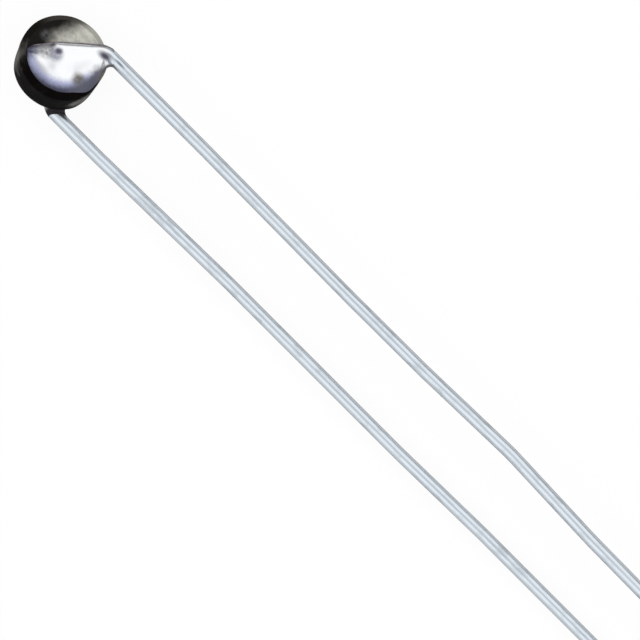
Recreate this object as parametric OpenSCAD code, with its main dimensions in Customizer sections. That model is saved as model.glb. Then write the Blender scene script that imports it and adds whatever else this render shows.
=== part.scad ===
// Disc thermistor: a sintered ceramic disc with a fired electrode on each face and a tinned wire soldered
// across each electrode. Both wires bend at the rim and run side by side as long leads. The part is modelled
// round the disc's centre, with the disc's faces along XY and the leads along +X, and is then laid down as it
// comes to rest. The back of the part is its front turned half a turn about X.

/* [Ceramic disc] */
// Outside diameter of the disc
disc_d = 2.75; // [2.4:0.05:3.2]
// Thickness between the two flat faces
disc_t = 1.1; // [0.9:0.05:1.3]
// Radius of the tumbled edge round each face
edge_r = 0.16; // [0.08:0.02:0.24]

/* [Electrodes] */
// Thickness of the fired metal on each face
electrode_t = 0.02; // [0.01:0.005:0.04]
// Bare ceramic left between the electrode and the rounded edge
electrode_margin = 0.04; // [0.01:0.01:0.1]

/* [Leads] */
// Diameter of the tinned wire
wire_d = 0.405; // [0.32:0.005:0.46]
// Distance between the two lead axes where they leave the disc
lead_spacing = 2.54; // [2.4:0.02:2.7]
// Reach of the leads, from the disc's centre to their cut ends
lead_length = 38; // [28:1:45]
// Angle between a lead and the stretch of it that is soldered across the face
joint_angle = 45; // [40:1:50]
// Bend radius at the rim, to the wire's axis
bend_r = 0.5; // [0.4:0.05:0.6]
// Radius of the slight bends that handling left in the leads
kink_r = 8; // [4:1:12]
// Wire that lies past the disc's centre, up to its cut end on the face
wire_tail = 0.3; // [0.1:0.05:0.4]
// Distance from the disc's centre to the soldered stretch's axis
joint_offset = 0.13; // [0:0.01:0.16]

/* [Solder] */
// Solder between the electrode and the wire
solder_bed = 0.03; // [0.02:0.005:0.06]
// Solder film over the wire
solder_film = 0.025; // [0.015:0.005:0.05]
// Electrode left bare round the pool of solder
pool_margin = 0.01; // [0.005:0.005:0.1]
// Angle at which the front pool's surface comes down at its border
front_contact = 20; // [15:5:60]
// Angle at which the back pool's surface comes down at its border
back_contact = 20; // [15:5:60]
// How fast the front web closes in on the lead past the rim
front_web = 1.5; // [1:0.25:4]
// How fast the back web closes in on the lead past the rim
back_web = 2.5; // [1:0.25:4]
// Width of the fillet on the wire's other side
fillet_w = 0.1; // [0.06:0.01:0.16]
// Length of lead that the solder web follows past the bend
web_length = 0.05; // [0.02:0.01:0.2]

/* [Hidden] */
$fn = 48;

// Slight bends left by handling, each as [distance along X from the disc's centre, turn in degrees]
front_kinks = [[5, -0.5], [11.3, 0.8], [14.4, 1.4], [18, -4], [21.6, 1.7]];
back_kinks = [[2.9, -1.2], [8.3, 1.2], [15.6, -1.2], [19.2, 1.2]];

disc_r = disc_d / 2;
wire_r = wire_d / 2;
face_z = disc_t / 2 + electrode_t;
electrode_r = disc_r - edge_r - electrode_margin;

// A bend is a touch thinner than the straight wire, and reaches a little way into it at both ends
bend_thinning = 0.002;
bend_lap = 0.02;

// Height of the wire's axis off the electrode, and off the disc's middle
wire_rise = solder_bed + wire_r;
lead_level = face_z + wire_rise;
lead_y = sqrt(pow(lead_spacing / 2, 2) - pow(lead_level, 2));

// Where the soldered stretch and the lead would meet, along the stretch, and the bend between them
corner = (lead_y - joint_offset * cos(joint_angle)) / sin(joint_angle);
bend_start = corner - bend_r * tan(joint_angle / 2);
bend_end = bend_start + bend_r * sin(joint_angle);

// Radii of the pool's border on the electrode, and on the rounded edge near the lead
bare_share = 0.3;
pool_r = electrode_r - pool_margin;
rim_reach = disc_r - edge_r * bare_share;
pool_widens_from = disc_r / 8;
pool_widens_over = disc_r / 2;

// The two joints, each as [angle at the pool's border, how fast the web closes in]
front_joint = [front_contact, front_web];
back_joint = [back_contact, back_web];

// The solder is a loft of sections that stand square to the soldered stretch. Each section rises from the
// pool's border to the crown of the wire, goes down the fillet and comes back under the surface of the disc.
// How deep a section reaches under that surface, in the middle and at its border, and how thick its border is
section_depth = 0.1;
border_depth = 0.02;
border_rise = 0.004;
// Angle of the pool's surface where its border has run out to the rounded edge
exit_contact = 60;
// How strongly the surface leaves the wire and the border along their own directions
shore_pull = 0.35;
border_pull = 0.3;
// Level past the wire's cut end, as a share of the level over the wire, where the drop to it ends, and how
// much the pool beside it swells there
end_level = 0.47;
end_drop = 0.35;
end_swell = 1.4;
// Share of the film that is left where the web ends
last_film = 0.4;
// Where along the web its border leaves the disc, and where all of it closes round the wire
web_lifts = 0.2;
web_closes = 0.6;
// How far out and how far down the fillet's surface bows in, as shares of its width and height
knee_out = 0.3;
knee_down = 0.75;
// How much narrower the fillet gets towards the bend, from which share of the way, and over how much of it
fillet_loss = 0.8;
fillet_loss_from = 0.7;
fillet_loss_over = 0.4;
// Steps over the pool, the crown of the wire, the fillet and the underside, with the angles where the crown
// and the fillet end on the wire, and steps past the wire's end, along it and along the web
pool_steps = 12;
crown_steps = 10;
crown_from = 50;
crown_to = 170;
fillet_steps = 5;
fillet_to = 235;
under_steps = 6;
web_edge = -10;
end_steps = 15;
end_share = 0.985;
face_steps = 16;
web_steps = 14;
web_end = bend_end + web_length * cos(joint_angle);

function clamp(x) = min(max(x, 0), 1);
function smooth(x) = let (t = clamp(x)) t * t * (3 - 2 * t);
function mix(a, b, t) = a * (1 - t) + b * t;
function bow(a, b, c, t) = mix(mix(a, b, t), mix(b, c, t), t);
function curve(a, b, c, d, t) = mix(bow(a, b, c, t), bow(b, c, d, t), t);

function middle(points) = [for (p = points) 1] * points / len(points);

// Points of an arc about a centre
function arc(centre, r, from, to, steps) =
    [for (i = [0 : steps]) let (a = mix(from, to, i / steps)) centre + r * [cos(a), sin(a)]];

// Where the section at s crosses the line that runs beside the wire's axis, at distance d on the pool's side
function beside(s, d) =
    let (r = bend_r - d, over = s - bend_start, past = over - r * sin(joint_angle))
    joint_offset - bend_r + (over < 0 ? r
                             : past < 0 ? sqrt(pow(r, 2) - pow(over, 2))
                             : r * cos(joint_angle) - past * tan(joint_angle));

// How far s lies past the wire's cut end, from 0 there to 1 at the pool's end, and how far along the web
function past_end(s) = clamp((-wire_tail - s) / (pool_r - wire_tail));
function web_part(s) = clamp((s - bend_start) / (web_end - bend_start));

// Past the cut end of the wire the sections grow narrow. They drop to the level of the pool, then to nothing.
function end_width(s) = sqrt(1 - pow(past_end(s), 2));
function past_drop(s, level) = mix(1, level, smooth(past_end(s) / end_drop)) * end_width(s);
function end_height(s) = past_drop(s, end_level);

// A point of the skin round the wire, at an angle from the pool's side over the crown
function skin(s, angle) =
    let (r = wire_r + solder_film * mix(1, last_film, web_part(s)))
    [beside(s, r * cos(angle) * end_width(s)), end_height(s) * (wire_rise + r * sin(angle))];

// Level of the ceramic, which falls over its rounded edge
function over_edge(r) = (r - disc_r + edge_r) / edge_r;
function ground(r) = edge_r * (sqrt(1 - pow(clamp(over_edge(r)), 2)) - 1) - electrode_t;

// How far the pool's border at s has left the electrode for the rounded edge
function exit_part(s) = smooth((s - pool_widens_from) / pool_widens_over);

// The pool's border: round the electrode, out to the rounded edge, and up the web to the side of the lead
function across(r, s) = -sqrt(max(r * r - s * s, 0));
function border(s, web) =
    let (part = web_part(s),
         last = skin(s, web_edge),
         y = part == 0 ? across(mix(pool_r, rim_reach, exit_part(s)), s)
                       : mix(last.x, across(rim_reach, bend_start), pow(1 - part, web)))
    [y, mix(ground(norm([s, y])) - border_depth, last.y, lifted(s))];

// How far the web's border has lifted off the disc at s
function lifted(s) = smooth((web_part(s) - web_lifts) / (1 - web_lifts));

// How far a point at radius r has risen from the disc to the skin of the wire. It lies a share t of the way
// across to the web's edge.
function lift(s, r, t) =
    let (part = web_part(s))
    max(mix(smooth(over_edge(r)), lifted(s), t),
        smooth((part - web_closes) / (1 - web_closes)));

// One section of the solder, as points across it
function solder_section(s, joint) =
    let (part = web_part(s),
         high = end_height(s),
         edge = border(s, joint[1]),
         from = mix(crown_from, -web_edge, part),
         shore = skin(s, from),
         start = edge + [0, (border_depth + border_rise + electrode_t * (1 - exit_part(s))) * (1 - lifted(s))],
         reach = norm(shore - start),
         lean = mix(mix(joint[0], exit_contact, exit_part(s)), 90, part),
         inner = [shore.x - shore_pull * reach * sin(from),
                  (shore.y / high - shore_pull * reach * cos(from)) * past_drop(s, end_swell)],
         outer = start + border_pull * reach * [cos(lean), sin(lean) * end_width(s)],
         drop = skin(s, crown_to),
         loss = fillet_loss * smooth((s / bend_start - fillet_loss_from) / fillet_loss_over),
         foot = [beside(s, -(wire_r + fillet_w * (1 - loss)) * end_width(s)), -electrode_t - border_depth],
         knee = [mix(drop.x, foot.x, knee_out), mix(drop.y, foot.y, knee_down)],
         rise = lift(s, norm([s, foot.x]), 0))
    concat(
        [edge],
        [for (i = [0 : pool_steps - 1]) curve(start, outer, inner, shore, i / pool_steps)],
        [for (i = [0 : crown_steps]) skin(s, mix(from, crown_to, i / crown_steps))],
        [for (i = [1 : fillet_steps]) let (t = i / fillet_steps)
            mix(bow(drop, knee, foot, t), skin(s, mix(crown_to, fillet_to, t)), rise)],
        [for (i = [1 : under_steps - 1])
            let (t = i / under_steps,
                 y = mix(foot.x, edge.x, t),
                 r = norm([s, y]),
                 past_rim = smooth((r - rim_reach) / (disc_r - rim_reach)),
                 inside = [y, mix(-section_depth - electrode_t, edge.y, past_rim)])
            mix(inside, skin(s, mix(fillet_to, 360 + web_edge, t)), lift(s, r, t))]);

stations = concat(
    [for (i = [0 : end_steps - 1]) mix(-wire_tail, -pool_r, end_share * cos(90 * i / end_steps))],
    [for (i = [0 : face_steps - 1]) mix(-wire_tail, bend_start, i / face_steps)],
    [for (i = [0 : web_steps]) mix(bend_start, web_end, i / web_steps)]);
function solder_sections(joint) = [for (s = stations) [for (p = solder_section(s, joint)) [s, p.x, p.y]]];

// The lead's corners along its axis: the cut end on the face, the bend at the rim, the kinks and the free end
function heading(kinks, i) = i < 0 ? 0 : kinks[i][1] + heading(kinks, i - 1);
function y_at(kinks, i, x) =
    i < 0 ? lead_y : y_at(kinks, i - 1, kinks[i][0]) + (x - kinks[i][0]) * tan(heading(kinks, i));
function lead_corners(kinks) =
    let (along = [cos(joint_angle), sin(joint_angle)],
         across = [-sin(joint_angle), cos(joint_angle)] * joint_offset)
    concat([across - wire_tail * along, across + corner * along],
           [for (i = [0 : len(kinks) - 1]) [kinks[i][0], y_at(kinks, i - 1, kinks[i][0])]],
           [[lead_length, y_at(kinks, len(kinks) - 1, lead_length)]]);

// How the part lies: on the disc's lower edge, on the ridge of the back joint and on the back lead's tip.
// Each function measures how far a piece reaches along a direction.
function down(roll, pitch) = [sin(pitch), cos(pitch) * sin(roll), -cos(pitch) * cos(roll)];
function disc_reach(g) = (disc_r - edge_r) * norm([g.x, g.y]) + (disc_t / 2 - edge_r) * abs(g.z) + edge_r;
back_points = [for (section = solder_sections(back_joint), p = section)
    [p.x * cos(joint_angle) - p.y * sin(joint_angle), -p.x * sin(joint_angle) - p.y * cos(joint_angle),
     -face_z - p.z]];
function joint_reach(g) = max([for (p = back_points) p * g]);
back_corners = lead_corners(back_kinks);
back_tip = let (tip = back_corners[len(back_corners) - 1]) [tip.x, -tip.y, -lead_level];
function tip_reach(g) = back_tip * g + wire_r;
function find_roll(pitch, low, high, steps) =
    let (roll = (low + high) / 2, g = down(roll, pitch))
    steps == 0 ? roll
    : disc_reach(g) < joint_reach(g) ? find_roll(pitch, roll, high, steps - 1)
    : find_roll(pitch, low, roll, steps - 1);
function find_pitch(roll, low, high, steps) =
    let (pitch = (low + high) / 2, g = down(roll, pitch))
    steps == 0 ? pitch
    : tip_reach(g) < max(joint_reach(g), disc_reach(g)) ? find_pitch(roll, pitch, high, steps - 1)
    : find_pitch(roll, low, pitch, steps - 1);
first_roll = find_roll(0, 0, 45, 14);
rest_pitch = find_pitch(first_roll, 0, 5, 14);
rest_roll = find_roll(rest_pitch, 0, 45, 14);
rest_down = down(rest_roll, rest_pitch);
rest_height = max(disc_reach(rest_down), joint_reach(rest_down), tip_reach(rest_down));
middle_x = (lead_length - disc_r) / 2;

// Lays a piece down in the rest position, with the origin under the middle of the part
module at_rest() {
    translate([-middle_x, 0, rest_height]) rotate([0, rest_pitch, 0]) rotate([-rest_roll, 0, 0]) children();
}

// Turns a piece of the front to the back
module on_back() {
    rotate([180, 0, 0]) children();
}

// Half of the disc's outline, from the axis out, with rounded edges
module disc_profile() {
    polygon(concat([[0, -disc_t / 2]],
                   arc([disc_r - edge_r, edge_r - disc_t / 2], edge_r, -90, 0, 8),
                   arc([disc_r - edge_r, disc_t / 2 - edge_r], edge_r, 0, 90, 8),
                   [[0, disc_t / 2]]));
}

module disc_body() {
    rotate_extrude($fn = 96) disc_profile();
}

module electrode() {
    translate([0, 0, disc_t / 2]) cylinder(h = electrode_t, r = electrode_r, $fn = 96);
}

// A wire along straight stretches between corners, with a round bend of its own radius at each inner corner
module bent_wire(corners, radii) {
    last = len(corners) - 1;
    headings = [for (i = [0 : last - 1]) let (d = corners[i + 1] - corners[i]) atan2(d.y, d.x)];
    turns = [for (i = [0 : last]) i == 0 || i == last ? 0 : headings[i] - headings[i - 1]];
    trims = [for (i = [0 : last]) i == 0 || i == last ? 0 : radii[i] * tan(abs(turns[i]) / 2)];
    for (i = [0 : last - 1]) {
        along = [cos(headings[i]), sin(headings[i])];
        start = corners[i] + trims[i] * along;
        translate(start) rotate([0, 90, headings[i]])
            cylinder(h = norm(corners[i + 1] - corners[i]) - trims[i] - trims[i + 1], r = wire_r);
    }
    for (i = [1 : last - 1]) {
        side = sign(turns[i]);
        from = corners[i] - trims[i] * [cos(headings[i - 1]), sin(headings[i - 1])];
        centre = from + side * radii[i] * [-sin(headings[i - 1]), cos(headings[i - 1])];
        lap = bend_lap / radii[i] * 180 / PI;
        first = min(headings[i - 1], headings[i]) - side * 90 - lap;
        translate(centre) rotate([0, 0, first])
            rotate_extrude(angle = abs(turns[i]) + 2 * lap, $fn = 180)
                translate([radii[i], 0]) circle(r = wire_r - bend_thinning, $fn = 48);
    }
}

module lead(kinks) {
    corners = lead_corners(kinks);
    translate([0, 0, lead_level])
        bent_wire(corners, [for (i = [0 : len(corners) - 1]) i == 1 ? bend_r : kink_r]);
}

// The skin over all sections of the solder. The first and the last are closed round a point in their middle.
module solder_skin(joint) {
    sections = solder_sections(joint);
    count = len(sections[0]);
    last = len(sections) - 1;
    tip = count * (last + 1);
    polyhedron(
        points = concat([for (section = sections, p = section) p],
                        [middle(sections[0]), middle(sections[last])]),
        faces = concat(
            [for (j = [0 : count - 1]) [tip, (j + 1) % count, j]],
            [for (j = [0 : count - 1]) [tip + 1, last * count + j, last * count + (j + 1) % count]],
            [for (i = [0 : last - 1], j = [0 : count - 1], half = [0, 1])
                let (a = i * count + j, b = i * count + (j + 1) % count, c = b + count, d = a + count)
                half == 0 ? [a, b, c] : [a, c, d]]));
}

module solder(joint, kinks) {
    difference() {
        translate([0, 0, face_z]) rotate([0, 0, joint_angle]) solder_skin(joint);
        disc_body();
        electrode();
        lead(kinks);
    }
}

module ceramic_disc() {
    color([0.09, 0.085, 0.08]) at_rest() disc_body();
}

module front_electrode() {
    color([0.62, 0.61, 0.57]) at_rest() electrode();
}

module back_electrode() {
    color([0.62, 0.61, 0.57]) at_rest() on_back() electrode();
}

module front_lead() {
    color([0.78, 0.79, 0.83]) at_rest() lead(front_kinks);
}

module back_lead() {
    color([0.78, 0.79, 0.83]) at_rest() on_back() lead(back_kinks);
}

module front_solder() {
    color([0.86, 0.87, 0.92]) at_rest() solder(front_joint, front_kinks);
}

module back_solder() {
    color([0.86, 0.87, 0.92]) at_rest() on_back() solder(back_joint, back_kinks);
}

ceramic_disc();
front_electrode();
back_electrode();
front_lead();
back_lead();
front_solder();
back_solder();
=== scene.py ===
"""Looks of a disc thermistor: a dark ceramic disc, a tinned wire soldered across each face, two long leads.

The pieces are made in millimetres round the disc's centre, with its faces along XY and the leads along +X,
as the solids are. They are then laid down in metres, as the part rests on the floor. The pieces of the back
face are made as the front's are and turned half round about X.
"""

import logging
import math
from dataclasses import dataclass
from enum import Enum
from functools import reduce

import bmesh
import bpy
from mathutils import Matrix, Vector, noise


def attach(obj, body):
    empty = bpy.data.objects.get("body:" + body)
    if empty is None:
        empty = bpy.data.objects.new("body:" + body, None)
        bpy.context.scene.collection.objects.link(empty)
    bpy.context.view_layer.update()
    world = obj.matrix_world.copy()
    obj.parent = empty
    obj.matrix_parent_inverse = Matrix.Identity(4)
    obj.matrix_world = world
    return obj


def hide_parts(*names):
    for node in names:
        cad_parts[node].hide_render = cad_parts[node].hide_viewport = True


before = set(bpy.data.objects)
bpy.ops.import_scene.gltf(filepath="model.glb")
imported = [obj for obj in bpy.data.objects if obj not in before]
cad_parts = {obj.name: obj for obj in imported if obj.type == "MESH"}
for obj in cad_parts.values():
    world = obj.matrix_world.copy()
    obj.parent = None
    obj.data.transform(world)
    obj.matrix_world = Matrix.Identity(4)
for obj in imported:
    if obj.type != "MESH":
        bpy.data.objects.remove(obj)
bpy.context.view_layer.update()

log = logging.getLogger("disc_thermistor")

Colour = tuple[float, float, float, float]
Triple = tuple[float, float, float]
Pair = tuple[float, float]
Socket = bpy.types.NodeSocket
Edges = list[bmesh.types.BMEdge]

# Where a smooth step starts and ends, then its values there where these aren't 0 and 1
Band = tuple[float, ...]

MM = 0.001

# Points that are closer than this, in millimetres, become one
WELD = 1e-6

# Directions along and across the soldered stretch, and the two of the plan on which the marks and painted
# shades are laid out.
# The plan is the part seen from above as it lies, turned by 45 degrees.
ALONG = (0.7071, 0.7071, 0.0)
ACROSS = (-0.7071, 0.7071, 0.0)
PLAN = ((0.7071, 0.6457, 0.2884), (0.7071, -0.6457, -0.2884))


def clamp(value: float) -> float:
    """Returns the value, held between 0 and 1."""
    return min(max(value, 0.0), 1.0)


def smooth(value: float) -> float:
    """Returns a smooth step from 0 to 1 as the value goes from 0 to 1."""
    t = clamp(value)
    return t * t * (3 - 2 * t)


def mix(a: float, b: float, t: float) -> float:
    """Returns the value a share t of the way from a to b."""
    return a * (1 - t) + b * t


def bow(a: Vector, b: Vector, c: Vector, t: float) -> Vector:
    """Returns the point a share t of the way along a bow from a to c that leans towards b."""
    return a.lerp(b, t).lerp(b.lerp(c, t), t)


class Side(Enum):
    """The two faces of the disc."""

    FRONT = "front"
    BACK = "back"

    def turn(self) -> Matrix:
        """Returns the matrix that turns a piece of the front face to this one."""
        return Matrix.Rotation(math.pi if self is Side.BACK else 0.0, 4, "X")


@dataclass(frozen=True)
class Sizes:
    """Sizes that several pieces share, in millimetres and degrees, as in the solids.

    Attributes:
        disc_r: Radius of the ceramic disc.
        disc_t: Thickness of the disc between its flat faces.
        edge_r: Radius of the tumbled edge round each face.
        electrode_t: Thickness of the fired metal on each face.
        electrode_margin: Bare ceramic between the electrode and the rounded edge.
        wire_r: Radius of the tinned wire.
        solder_bed: Solder between the electrode and the wire.
        lead_spacing: Distance between the two lead axes where they leave the disc.
        lead_length: Reach of the leads, from the disc's centre to their cut ends.
        joint_angle: Angle between a lead and its soldered stretch.
        joint_offset: Distance from the disc's centre to the soldered stretch's axis.
        bend_r: Bend radius at the rim, to the wire's axis.
        kink_r: Radius of the slight bends that handling left in the leads.
        wire_tail: Wire that lies past the disc's centre, up to its cut end on the face.
    """

    disc_r: float = 1.375
    disc_t: float = 1.1
    edge_r: float = 0.16
    electrode_t: float = 0.02
    electrode_margin: float = 0.04
    wire_r: float = 0.2025
    solder_bed: float = 0.03
    lead_spacing: float = 2.54
    lead_length: float = 38.0
    joint_angle: float = 45.0
    joint_offset: float = 0.13
    bend_r: float = 0.5
    kink_r: float = 8.0
    wire_tail: float = 0.3

    @property
    def electrode_r(self) -> float:
        """Radius of the fired metal."""
        return self.disc_r - self.edge_r - self.electrode_margin

    @property
    def face_z(self) -> float:
        """Level of the electrode's face above the disc's middle."""
        return self.disc_t / 2 + self.electrode_t

    @property
    def wire_rise(self) -> float:
        """Level of the wire's axis above the electrode."""
        return self.solder_bed + self.wire_r

    @property
    def lead_level(self) -> float:
        """Level of the wire's axis above the disc's middle."""
        return self.face_z + self.wire_rise

    @property
    def lead_y(self) -> float:
        """Distance of a lead's axis from the disc's centre along Y, where it leaves the disc."""
        return math.sqrt((self.lead_spacing / 2) ** 2 - self.lead_level ** 2)

    @property
    def slant(self) -> float:
        """Angle between a lead and its soldered stretch, in radians."""
        return math.radians(self.joint_angle)

    @property
    def corner(self) -> float:
        """Where the soldered stretch and the lead would meet, along the stretch."""
        return (self.lead_y - self.joint_offset * math.cos(self.slant)) / math.sin(self.slant)

    @property
    def bend_start(self) -> float:
        """Where the bend at the rim starts, along the soldered stretch."""
        return self.corner - self.bend_r * math.tan(self.slant / 2)

    @property
    def middle(self) -> float:
        """Distance from the disc's centre to the middle of the whole part."""
        return (self.lead_length - self.disc_r) / 2


@dataclass(frozen=True)
class Rest:
    """How the part lies on the floor: on the disc's lower edge, the back joint and the back lead's tip.

    Attributes:
        roll: Turn of the disc's face towards +Y, in degrees, as worked out for the solids.
        pitch: Turn that lets the leads' tips down, in degrees, as worked out for the solids.
        height: Height of the disc's centre, in millimetres, as worked out for the solids.
    """

    roll: float = 23.3693
    pitch: float = 0.574493
    height: float = 1.0045

    def face(self, side: Side) -> Matrix:
        """Returns the matrix that lays down a piece of one side.

        Args:
            side: The face that the piece belongs to. It is made as if it belonged to the front.

        Returns:
            The matrix from the front's millimetres to metres on the floor.
        """
        pitch = Matrix.Rotation(math.radians(self.pitch), 4, "Y")
        turn = pitch @ Matrix.Rotation(-math.radians(self.roll), 4, "X")
        lift = Matrix.Translation((-SIZES.middle, 0, self.height))
        return Matrix.Scale(MM, 4) @ lift @ turn @ side.turn()


@dataclass(frozen=True)
class Flat:
    """A place where the pressed disc's rim is a little flatter than round, with the solder that lies on it.

    Attributes:
        azimuth: Direction of its middle from the disc's centre, in degrees from +X.
        spread: Angle over which it fades to either side, in degrees.
        depth: How far it lies inside the round, in millimetres.
        levels: Height at which it fades out and height at which it is full, as a rule both above the disc.
        inner: Radius from which the rim is drawn in, in millimetres.
    """

    azimuth: float
    spread: float
    depth: float
    levels: Pair = (10.0, 5.0)
    inner: float = 1.0

    def pull(self, point: Vector) -> Vector:
        """Returns a point, drawn in towards the disc's axis where it lies on the flat.

        Args:
            point: The point, in the part's own millimetres.

        Returns:
            The point in its new place.
        """
        out = Vector((point.x, point.y, 0))
        off = (math.degrees(math.atan2(point.y, point.x)) - self.azimuth + 180) % 360 - 180
        share = smooth(1 - abs(off) / self.spread)
        share *= smooth((out.length - self.inner) / (SIZES.disc_r - self.inner))
        share *= smooth((self.levels[0] - point.z) / (self.levels[0] - self.levels[1]))
        return point - out.normalized() * self.depth * share


@dataclass(frozen=True)
class Ripple:
    """Fine unevenness of a surface.

    Attributes:
        height: Its height, in millimetres.
        fineness: One divided by the length of its waves, in millimetres.
        inward: How far it lies inwards on the whole, as a share of its height.
    """

    height: float
    fineness: float
    inward: float

    def at(self, point: Vector) -> float:
        """Returns how far the surface stands out at a point, in millimetres."""
        return (noise.noise(point * self.fineness) - self.inward) * self.height


SIZES = Sizes()
REST = Rest()
FLATS = (Flat(8.0, 38.0, 0.067), Flat(-155.0, 32.0, 0.06, levels=(0.25, -0.3)))


class Board:
    """The nodes of a material or of the world, with short ways to add those that the finishes use."""

    def __init__(self, owner: bpy.types.Material | bpy.types.World) -> None:
        """Keeps the material or the world and empties its node tree."""
        owner.use_nodes = True
        self.owner = owner
        self.tree = owner.node_tree
        self.tree.nodes.clear()

    def add(self, kind: str, inputs: dict | None = None, **settings: object) -> bpy.types.Node:
        """Adds a node.

        Args:
            kind: The node's type name.
            inputs: Values or sockets for its inputs, by name or number.
            **settings: Properties of the node.

        Returns:
            The new node.
        """
        node = self.tree.nodes.new(kind)
        for key, value in settings.items():
            setattr(node, key, value)
        for key, value in (inputs or {}).items():
            if isinstance(value, Socket):
                self.tree.links.new(value, node.inputs[key])
            else:
                node.inputs[key].default_value = value
        return node

    def place(self, side: Side = Side.FRONT, scale: Triple = (1, 1, 1)) -> Socket:
        """Adds object coordinates turned back into the part's own millimetres.

        Args:
            side: The face whose own frame is wanted.
            scale: How the pattern is pressed together along each axis.

        Returns:
            The place, as a vector.
        """
        coords = self.add("ShaderNodeTexCoord")
        spot, turn, size = REST.face(side).inverted().decompose()
        own = self.add("ShaderNodeMapping", {"Vector": coords.outputs["Object"], "Location": spot,
                                             "Rotation": turn.to_euler(), "Scale": size}).outputs["Vector"]
        if scale == (1, 1, 1):
            return own
        return self.add("ShaderNodeMapping", {"Vector": own, "Scale": scale}).outputs["Vector"]

    def plan(self, place: Socket) -> Socket:
        """Adds the place on the stains' plan, in millimetres."""
        u, v = (self.axis(place, way) for way in PLAN)
        return self.add("ShaderNodeCombineXYZ", {"X": u, "Y": v}).outputs["Vector"]

    def axis(self, vector: Socket, direction: Triple) -> Socket:
        """Adds the distance along a direction."""
        return self.vector("DOT_PRODUCT", vector, direction).outputs["Value"]

    def vector(self, operation: str, a: Socket, b: object = (0, 0, 0),
               c: object = (0, 0, 0)) -> bpy.types.Node:
        """Adds a calculation with vectors and returns its node."""
        return self.add("ShaderNodeVectorMath", {0: a, 1: b, 2: c}, operation=operation)

    def warp(self, vector: Socket, fineness: float, reach: float) -> Socket:
        """Adds a place that wanders, so that a spot on it has an uneven outline.

        Args:
            vector: The place, in millimetres.
            fineness: One divided by the size of the wandering's features, in millimetres.
            reach: How far the place wanders, in millimetres.

        Returns:
            The wandering place.
        """
        cloud = self.add("ShaderNodeTexNoise", {"Vector": vector, "Scale": fineness, "Detail": 3.0})
        away = self.vector("SUBTRACT", cloud.outputs["Color"], (0.5, 0.5, 0.5)).outputs[0]
        return self.vector("MULTIPLY_ADD", away, (reach, reach, reach), vector).outputs[0]

    def math(self, operation: str, a: object, b: object = 0.0, c: object = 0.0) -> Socket:
        """Adds a calculation of two or three values."""
        return self.add("ShaderNodeMath", {0: a, 1: b, 2: c}, operation=operation).outputs[0]

    def times(self, *values: object) -> Socket:
        """Adds the product of two or more values."""
        return reduce(lambda a, b: self.math("MULTIPLY", a, b), values)

    def most(self, *values: object) -> Socket:
        """Adds the largest of two or more values."""
        return reduce(lambda a, b: self.math("MAXIMUM", a, b), values)

    def stir(self, value: Socket, cloud: Socket, reach: float) -> Socket:
        """Adds a value that a cloud moves up and down by half of the reach."""
        return self.math("MULTIPLY_ADD", self.math("SUBTRACT", cloud, 0.5), reach, value)

    def step(self, value: Socket, low: float, high: float, start: float = 0.0, end: float = 1.0) -> Socket:
        """Adds a smooth step from a start to an end, as the value goes from low to high."""
        return self.add("ShaderNodeMapRange",
                        {"Value": value, "From Min": low, "From Max": high, "To Min": start, "To Max": end},
                        interpolation_type="SMOOTHSTEP").outputs["Result"]

    def blend(self, factor: object, a: object, b: object) -> Socket:
        """Adds a mix of two colours, which is the second one where the factor is 1."""
        return self.add("ShaderNodeMix", {0: factor, 6: a, 7: b}, data_type="RGBA").outputs[2]

    def bump(self, height: Socket, depth: float, strength: float) -> Socket:
        """Adds the normal of a relief with a depth in millimetres."""
        return self.add("ShaderNodeBump", {"Height": height, "Strength": strength,
                                           "Distance": depth * MM}).outputs["Normal"]

    def surface(self, inputs: dict) -> bpy.types.Material:
        """Adds the main shader with these inputs, joins it to the output and returns the material."""
        shader = self.add("ShaderNodeBsdfPrincipled", inputs)
        self.add("ShaderNodeOutputMaterial", {"Surface": shader.outputs[0]})
        return self.owner


@dataclass(frozen=True)
class Cloud:
    """A soft uneven pattern with values round 0.5.

    Attributes:
        fineness: One divided by the size of its features, in millimetres.
        detail: How many layers of finer features it has.
        rough: How strong the finer layers are.
    """

    fineness: float
    detail: float
    rough: float

    def amount(self, board: Board, place: Socket) -> Socket:
        """Adds the pattern at a place."""
        return board.add("ShaderNodeTexNoise", {
            "Vector": place, "Scale": self.fineness, "Detail": self.detail, "Roughness": self.rough,
        }).outputs["Fac"]


@dataclass(frozen=True)
class Spot:
    """A soft round spot.

    Attributes:
        at: Its middle, in millimetres.
        full: Radius up to which it is full.
        gone: Radius at which it has faded.
    """

    at: Triple
    full: float
    gone: float

    def amount(self, board: Board, place: Socket) -> Socket:
        """Adds the spot's strength at a place, 1 inside and 0 outside."""
        far = board.vector("DISTANCE", place, self.at).outputs["Value"]
        return board.step(far, self.full, self.gone, 1.0, 0.0)


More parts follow.
